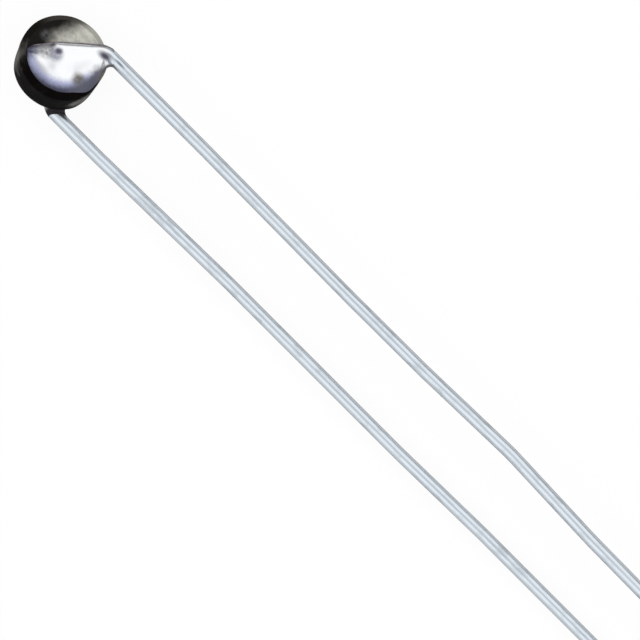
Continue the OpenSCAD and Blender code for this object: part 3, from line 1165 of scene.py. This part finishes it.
@dataclass
class SolderJoint(Piece):
    """The solder of one face: sections across the soldered stretch, bridged from the pool's end to the web.

    Lengths are in millimetres and angles in degrees. Places on the web are shares of its length.
    """

    # How fast the web's border closes in on the lead, past the rim and where the web starts, and the share
    # of the web over which the one becomes the other
    web: float = 1.5
    web_start: float = 0.75
    web_turns: float = 0.35

    # Lead that the web follows past the bend, where its border leaves the disc, where all of it closes round
    # the wire, and the angle on the wire at which its border ends
    web_length: float = 0.05
    web_lifts: float = 0.2
    web_closes: float = 0.6
    web_edge: float = -10.0

    # Angle at which the pool's surface comes down at its border, on the electrode and on the rounded edge
    contact: float = 20.0
    exit_contact: float = 60.0

    # Electrode left bare round the pool, share of the rounded edge left bare where the border has run out to
    # it, and where it starts to run out and over how much, as shares of the disc's radius
    pool_margin: float = 0.01
    bare_share: float = 0.3
    exit_from: float = 0.125
    exit_over: float = 0.5

    # Solder over the wire, and the share of it that is left where the web ends
    film: float = 0.025
    last_film: float = 0.4

    # Width of the fillet on the wire's far side, how much narrower it gets, from which share of the way to
    # the bend and over how much of it, and how far out and down its surface bows in, as shares of its size
    fillet_w: float = 0.1
    fillet_loss: float = 0.8
    fillet_loss_from: float = 0.7
    fillet_loss_over: float = 0.4
    knee: Pair = (0.3, 0.75)

    # How far a section reaches under the disc's surface, in its middle and at its border, and how thick its
    # border is above that surface
    depth: float = 0.1
    border_depth: float = 0.02
    border_rise: float = 0.003

    # How strongly the pool's surface leaves the wire and the border along their own directions
    shore_pull: float = 0.35
    border_pull: float = 0.3

    # Past the wire's cut end: level as a share of the level over the wire, where the drop to it ends, how
    # much the pool swells there, and the share of the pool's radius that the last section reaches
    end_level: float = 0.47
    end_drop: float = 0.35
    end_swell: float = 1.4
    end_share: float = 0.9985

    # Angles on the wire at which its crown starts and ends, and at which the fillet would end
    crown_from: float = 50.0
    crown_to: float = 170.0
    fillet_to: float = 235.0

    # Width of the painted shade on the web's rim at its start and at its end, where along the web it narrows
    # and over how much of it, and the rim's darkness before it is held at 1
    brim_width: float = 0.15
    brim_full: float = 0.06
    brim_narrows: Pair = (0.45, 0.5)
    brim_core: float = 1.6

    # Steps over the pool, the crown, the fillet and the underside, and sections past the wire's end, along
    # it and along the web
    steps: tuple[int, int, int, int] = (34, 30, 12, 9)
    stations: tuple[int, int, int] = (34, 34, 40)

    # Unevenness of the surface, and the length before the web's end over which it fades
    ripple: Ripple = Ripple(0.007, 3.0, 0.6)
    even: float = 0.2

    @property
    def pool_r(self) -> float:
        """Radius of the pool's border on the electrode."""
        return SIZES.electrode_r - self.pool_margin

    @property
    def rim_reach(self) -> float:
        """Radius of the border where it has run out to the rounded edge."""
        return SIZES.disc_r - SIZES.edge_r * self.bare_share

    @property
    def web_end(self) -> float:
        """Where the web ends, along the soldered stretch."""
        bend_end = SIZES.bend_start + SIZES.bend_r * math.sin(SIZES.slant)
        return bend_end + self.web_length * math.cos(SIZES.slant)

    def places(self) -> list[float]:
        """Returns the places of the sections along the soldered stretch."""
        end, face, web = self.stations
        tail, start = -SIZES.wire_tail, SIZES.bend_start
        shares = [self.end_share * math.cos(math.pi / 2 * i / end) for i in range(end)]
        return ([mix(tail, -self.pool_r, share) for share in shares]
                + [mix(tail, start, i / face) for i in range(face)]
                + [mix(start, self.web_end, i / web) for i in range(web + 1)])

    def shape(self, mesh: bmesh.types.BMesh) -> None:
        """Builds the solder by bridging rings that are bent into its sections."""
        # Strength of the painted shade on the web's rim, kept on the points for the solder's material
        brim = mesh.verts.layers.float.new("brim")
        rings: list[Edges] = []
        for s in self.places():
            section = Section(self, s)
            points = section.points()
            ring = bmesh.ops.create_circle(mesh, cap_ends=False, segments=len(points), radius=SIZES.wire_r)
            for i, (vert, point) in enumerate(zip(ring["verts"], points)):
                vert.co = Vector((s, point.x, point.y))
                vert[brim] = section.brim(i, abs(point.x - points[0].x))
            rings.append(list(dict.fromkeys(edge for vert in ring["verts"] for edge in vert.link_edges)))
        for a, b in zip(rings, rings[1:]):
            bmesh.ops.bridge_loops(mesh, edges=a + b)
        for ring in (rings[0], rings[-1]):
            bmesh.ops.contextual_create(mesh, geom=ring)
        bmesh.ops.triangulate(mesh, faces=[face for face in mesh.faces if len(face.verts) > 4])
        bmesh.ops.recalc_face_normals(mesh, faces=mesh.faces)
        mesh.normal_update()
        offsets = [self.ripple.at(vert.co) for vert in mesh.verts]
        for vert, offset in zip(mesh.verts, offsets):
            vert.co += vert.normal * offset * smooth((self.web_end - vert.co.x) / self.even)
        self.follow_flats(mesh)

    def follow_flats(self, mesh: bmesh.types.BMesh) -> None:
        """Turns the solder to its place in the part and draws it in where it lies on a flat of the disc."""
        place = Matrix.Translation((0, 0, SIZES.face_z)) @ Matrix.Rotation(SIZES.slant, 4, "Z")
        over = self.side.turn()
        bmesh.ops.transform(mesh, matrix=over @ place, verts=mesh.verts)
        for vert in mesh.verts:
            for flat in FLATS:
                vert.co = flat.pull(vert.co)
        bmesh.ops.transform(mesh, matrix=over, verts=mesh.verts)

    def finish(self) -> bpy.types.Material:
        """Returns the solder's material."""
        return SolderFinish(self.side).material()


class Section:
    """One section of a joint, square to the soldered stretch.

    It rises from the pool's border to the crown of the wire, goes down the fillet on the wire's far side and
    comes back under the surface of the disc. Its points are the distance across the stretch, from the disc's
    centre, and the height above the electrode.

    Attributes:
        joint: The joint that it belongs to.
        s: Its place along the soldered stretch.
        part: How far it lies along the web, from 0 to 1.
        lifted: How far the web's border has lifted off the disc, from 0 to 1.
        run_out: How far the pool's border has left the electrode for the rounded edge, from 0 to 1.
        width: Its width as a share, which is less than 1 past the wire's cut end.
        height: Its height over the wire as a share.
        swell: Its height beside the wire as a share.
    """

    def __init__(self, joint: SolderJoint, s: float) -> None:
        """Works out where on the joint the section is."""
        self.joint, self.s = joint, s
        self.part = clamp((s - SIZES.bend_start) / (joint.web_end - SIZES.bend_start))
        self.lifted = smooth((self.part - joint.web_lifts) / (1 - joint.web_lifts))
        self.run_out = smooth((s - SIZES.disc_r * joint.exit_from) / (SIZES.disc_r * joint.exit_over))
        past_end = clamp((-SIZES.wire_tail - s) / (joint.pool_r - SIZES.wire_tail))
        dropped = smooth(past_end / joint.end_drop)
        self.width = math.sqrt(max(1 - past_end ** 2, 0.0))
        self.height = mix(1, joint.end_level, dropped) * self.width
        self.swell = mix(1, joint.end_swell, dropped) * self.width

    def beside(self, d: float) -> float:
        """Returns where the section crosses the line at a distance from the wire's axis.

        Args:
            d: Distance of the line from the axis, on the pool's side.

        Returns:
            The distance across.
        """
        r, over = SIZES.bend_r - d, self.s - SIZES.bend_start
        past = over - r * math.sin(SIZES.slant)
        if over < 0:
            reach = r
        elif past < 0:
            reach = math.sqrt(r * r - over * over)
        else:
            reach = r * math.cos(SIZES.slant) - past * math.tan(SIZES.slant)
        return SIZES.joint_offset - SIZES.bend_r + reach

    def skin(self, angle: float) -> Vector:
        """Returns a point of the film round the wire.

        Args:
            angle: Angle from the pool's side over the crown, in degrees.

        Returns:
            The point.
        """
        r = SIZES.wire_r + self.joint.film * mix(1, self.joint.last_film, self.part)
        turn = math.radians(angle)
        return Vector((self.beside(r * math.cos(turn) * self.width),
                       self.height * (SIZES.wire_rise + r * math.sin(turn))))

    @staticmethod
    def over_edge(r: float) -> float:
        """Returns how far a radius reaches over the disc's rounded edge."""
        return (r - SIZES.disc_r + SIZES.edge_r) / SIZES.edge_r

    def ground(self, r: float) -> float:
        """Returns the level of the ceramic at a radius."""
        return SIZES.edge_r * (math.sqrt(1 - clamp(self.over_edge(r)) ** 2) - 1) - SIZES.electrode_t

    def border(self) -> Vector:
        """Returns the pool's border, on the electrode, on the rounded edge or on the side of the lead."""
        joint, last = self.joint, self.skin(self.joint.web_edge)
        if self.part == 0:
            r = mix(joint.pool_r, joint.rim_reach, self.run_out)
            y = -math.sqrt(max(r * r - self.s * self.s, 0))
        else:
            at_bend = -math.sqrt(joint.rim_reach ** 2 - SIZES.bend_start ** 2)
            pace = mix(joint.web_start, joint.web, smooth(self.part / joint.web_turns))
            y = mix(last.x, at_bend, (1 - self.part) ** pace)
        low = self.ground(math.hypot(self.s, y)) - joint.border_depth
        return Vector((y, mix(low, last.y, self.lifted)))

    def lift(self, r: float, t: float) -> float:
        """Returns how far a point under the solder has risen to the film round the wire.

        Args:
            r: Radius of the point from the disc's axis.
            t: Share of the way across from the fillet to the pool's border.

        Returns:
            The share, from 0 under the disc's surface to 1 on the film.
        """
        closed = smooth((self.part - self.joint.web_closes) / (1 - self.joint.web_closes))
        return max(mix(smooth(self.over_edge(r)), self.lifted, t), closed)

    def pool(self, edge: Vector, start: float) -> list[Vector]:
        """Returns the points from the pool's border up to the wire.

        Args:
            edge: The pool's border.
            start: Angle on the wire at which its crown starts.

        Returns:
            The points, without the one on the wire.
        """
        joint, shore = self.joint, self.skin(start)
        rim = joint.border_depth + joint.border_rise + SIZES.electrode_t * (1 - self.run_out)
        begin = edge + Vector((0, rim * (1 - self.lifted)))
        reach = (shore - begin).length
        open_lean = mix(joint.contact, joint.exit_contact, self.run_out)
        lean = math.radians(mix(open_lean, 90, smooth(self.part)))
        turn, pull = math.radians(start), joint.shore_pull * reach
        level = (shore.y / self.height - pull * math.cos(turn)) * self.swell
        inner = Vector((shore.x - pull * math.sin(turn), level))
        outer = begin + joint.border_pull * reach * Vector((math.cos(lean), math.sin(lean) * self.width))
        shares = [i / joint.steps[0] for i in range(joint.steps[0])]
        return [bow(begin, outer, inner, t).lerp(bow(outer, inner, shore, t), t) for t in shares]

    def points(self) -> list[Vector]:
        """Returns the section's points, from the pool's border over the wire, down and back underneath."""
        joint, edge = self.joint, self.border()
        _, crown, fillet, under = joint.steps
        start = mix(joint.crown_from, -joint.web_edge, smooth(self.part))
        drop = self.skin(joint.crown_to)
        loss = smooth((self.s / SIZES.bend_start - joint.fillet_loss_from) / joint.fillet_loss_over)
        width = joint.fillet_w * (1 - joint.fillet_loss * loss)
        foot = Vector((self.beside(-(SIZES.wire_r + width) * self.width),
                       -SIZES.electrode_t - joint.border_depth))
        knee = Vector((mix(drop.x, foot.x, joint.knee[0]), mix(drop.y, foot.y, joint.knee[1])))
        rise_share = self.lift(math.hypot(self.s, foot.x), 0)
        points = [edge, *self.pool(edge, start)]
        points += [self.skin(mix(start, joint.crown_to, i / crown)) for i in range(crown + 1)]
        for t in (i / fillet for i in range(1, fillet + 1)):
            film = self.skin(mix(joint.crown_to, joint.fillet_to, t))
            points.append(bow(drop, knee, foot, t).lerp(film, rise_share))
        for t in (i / under for i in range(1, under)):
            y = mix(foot.x, edge.x, t)
            r = math.hypot(self.s, y)
            past_rim = smooth((r - joint.rim_reach) / (SIZES.disc_r - joint.rim_reach))
            inside = Vector((y, mix(-joint.depth - SIZES.electrode_t, edge.y, past_rim)))
            film = self.skin(mix(joint.fillet_to, 360 + joint.web_edge, t))
            points.append(inside.lerp(film, self.lift(r, t)))
        return points

    def brim(self, i: int, far: float) -> float:
        """Returns how strong the painted shade on the web's rim is at a point.

        Args:
            i: Number of the point.
            far: Distance of the point from the web's border, across the section.

        Returns:
            The darkness, from 0 to 1.
        """
        joint = self.joint
        narrowed = smooth((self.part - joint.brim_narrows[0]) / joint.brim_narrows[1])
        width = mix(joint.brim_width, joint.brim_full, narrowed)
        underneath = i > sum(joint.steps[:3])
        near = 1.0 if underneath else smooth(joint.brim_core * (1 - far / width))
        return near * smooth(self.part / joint.web_lifts)


@dataclass
class Studio:
    """The floor, the lamps, the surroundings and the camera.

    Lengths are in millimetres.
    """

    # The camera: the point of the floor plane that it looks at, the turn of its picture in degrees, its
    # height, and the width of what it shows at a level
    aim: Pair = (-7.2365, 0.0535)
    turn: float = 45.038
    height: float = 114.0
    frame_width: float = 19.39
    level: float = 1.0

    # Width of its sensor, and the nearest and farthest that it sees, in metres
    sensor: float = 36.0
    clip: Pair = (0.001, 10.0)

    # The soft square lamps: their number, angle above the floor in degrees, distance, side, power in watts,
    # and the point on X that they look at
    lamps: int = 4
    lamp_rise: float = 45.0
    lamp_far: float = 160.0
    lamp_size: float = 90.0
    lamp_power: float = 0.05
    lamp_aim: float = -10.0

    # The floor: half of its side in metres, its colour, the share of glow in what the camera sees and in
    # what mirrors it, and the glow's strength in what mirrors it and to the camera
    floor_half: float = 1.2
    paper: Colour = (0.92, 0.92, 0.92, 1)
    floor_seen: Pair = (0.93, 0.6)
    floor_glow: Pair = (0.5, 1.0)

    # The room that metal mirrors: its brightness, each as height of the view and level, what a window adds
    # along Y, how that fades with the height, a factor on both, and the colour
    bands: tuple[Pair, ...] = ((0.0, 0.22), (0.30, 0.34), (0.46, 0.88), (0.6, 0.98),
                               (0.85, 1.0), (0.93, 0.90), (0.972, 0.62), (0.99, 0.54))
    window: Band = (-0.3, 0.3, 0.35, 0.0)
    window_low: Band = (0.25, 0.6, 1.0, 0.0)
    gain: float = 1.06
    room: Colour = (0.985, 0.99, 1.0, 1)

    # Colour of the room that the camera sees, and its brightness on dull surfaces
    wall: Colour = (0.982, 0.982, 0.982, 1)
    ambient: float = 0.55

    def camera(self) -> None:
        """Makes the camera, which looks straight down, with the leads running to the lower right."""
        data = bpy.data.cameras.new("camera")
        data.sensor_width = self.sensor
        data.lens = self.sensor / self.frame_width * (self.height - self.level)
        data.clip_start, data.clip_end = self.clip
        made = bpy.data.objects.new("camera", data)
        bpy.context.collection.objects.link(made)
        place = Matrix.Translation((self.aim[0] * MM, self.aim[1] * MM, self.height * MM))
        made.matrix_world = place @ Matrix.Rotation(math.radians(self.turn), 4, "Z")
        bpy.context.scene.camera = made

    def lamp(self, azimuth: float) -> None:
        """Makes a soft square lamp that looks at the part, in a direction given in degrees from +X."""
        data = bpy.data.lights.new("soft lamp", "AREA")
        data.shape, data.size, data.energy = "SQUARE", self.lamp_size * MM, self.lamp_power
        made = bpy.data.objects.new("soft lamp", data)
        bpy.context.collection.objects.link(made)
        a, e = math.radians(azimuth), math.radians(self.lamp_rise)
        way = Vector((math.cos(a) * math.cos(e), math.sin(a) * math.cos(e), math.sin(e)))
        place = Matrix.Translation(way * self.lamp_far * MM + Vector((self.lamp_aim * MM, 0, 0)))
        made.matrix_world = place @ way.to_track_quat("Z", "Y").to_matrix().to_4x4()
        made.visible_glossy = False

    def floor(self) -> None:
        """Makes the plain pale floor, which glows to the camera and in what mirrors it."""
        mesh = bmesh.new()
        bmesh.ops.create_grid(mesh, x_segments=1, y_segments=1, size=self.floor_half)
        data = bpy.data.meshes.new("floor")
        mesh.to_mesh(data)
        mesh.free()
        made = bpy.data.objects.new("floor", data)
        bpy.context.collection.objects.link(made)
        board = Board(bpy.data.materials.new("pale floor"))
        path = board.add("ShaderNodeLightPath").outputs
        mirrored = board.most(path["Is Glossy Ray"], path["Is Transmission Ray"])
        seen = board.most(board.times(path["Is Camera Ray"], self.floor_seen[0]),
                          board.times(mirrored, self.floor_seen[1]))
        paper = board.add("ShaderNodeBsdfDiffuse", {"Color": self.paper})
        strength = board.step(path["Is Camera Ray"], 0.0, 1.0, *self.floor_glow)
        glow = board.add("ShaderNodeEmission", {"Color": (1, 1, 1, 1), "Strength": strength})
        both = board.add("ShaderNodeMixShader", {0: seen, 1: paper.outputs[0], 2: glow.outputs[0]})
        board.add("ShaderNodeOutputMaterial", {"Surface": both.outputs[0]})
        data.materials.append(board.owner)

    def surroundings(self) -> None:
        """Makes the world: pale to the camera, soft on dull surfaces, and banded in what metal mirrors."""
        board = Board(bpy.data.worlds.new("pale room"))
        bpy.context.scene.world = board.owner
        coords = board.add("ShaderNodeTexCoord")
        way = board.add("ShaderNodeSeparateXYZ", {"Vector": coords.outputs["Generated"]}).outputs
        ramp = board.add("ShaderNodeValToRGB", {"Fac": way["Z"]})
        items = ramp.color_ramp.elements
        for i, (at, level) in enumerate(self.bands):
            item = items[i] if i < len(items) else items.new(at)
            item.position, item.color = at, (level, level, level, 1)
        window = board.times(board.step(way["Y"], *self.window), board.step(way["Z"], *self.window_low))
        bright = board.times(board.math("ADD", ramp.outputs["Color"], window), self.gain)
        path = board.add("ShaderNodeLightPath").outputs
        room, soft, pale = (
            board.add("ShaderNodeBackground", {"Color": colour, "Strength": strength}).outputs[0]
            for colour, strength in ((self.room, bright), ((1, 1, 1, 1), self.ambient), (self.wall, 1.0)))
        light = board.add("ShaderNodeMixShader", {0: path["Is Diffuse Ray"], 1: room, 2: soft})
        both = board.add("ShaderNodeMixShader", {0: path["Is Camera Ray"], 1: light.outputs[0], 2: pale})
        board.add("ShaderNodeOutputWorld", {"Surface": both.outputs[0]})

    def build(self) -> None:
        """Makes the whole studio."""
        self.camera()
        self.floor()
        self.surroundings()
        for i in range(self.lamps):
            self.lamp((i + 0.5) * 360 / self.lamps)
        bpy.context.scene.view_settings.view_transform = "Standard"


FRONT_KINKS = ((5, -0.5), (11.3, 0.8), (14.4, 1.4), (18, -4), (21.6, 1.7))
BACK_KINKS = ((2.9, -1.2), (8.3, 1.2), (15.6, -1.2), (19.2, 1.2))

# A painted dark reflection: a dark streak on the front wire, where it leaves the solder
PAINTED_STREAK = StainOrShade((1.831, 0.066), (0.012, 0.055), (0.30, 0.32, 0.38, 1), stretch=5.0, turn=45.0)


def main() -> None:
    """Builds the studio and the pieces in order."""
    logging.basicConfig(level=logging.INFO, format="%(name)s: %(message)s")
    Studio().build()
    pieces: list[Piece] = [
        CeramicDisc("disc", "ceramic_disc", "ceramic"),
        Electrode("front_metal", "front_electrode", "electrode"),
        Electrode("back_metal", "back_electrode", "electrode", Side.BACK),
        Lead("front_wire", "front_lead", "tinned_wire", kinks=FRONT_KINKS, stains_and_shades=(PAINTED_STREAK,)),
        Lead("back_wire", "back_lead", "tinned_wire", Side.BACK, kinks=BACK_KINKS),
        SolderJoint("front_joint", "front_solder", "solder"),
        SolderJoint("back_joint", "back_solder", "solder", Side.BACK, web=2.5),
    ]
    for piece in pieces:
        piece.build()


if __name__ == "__main__":
    main()
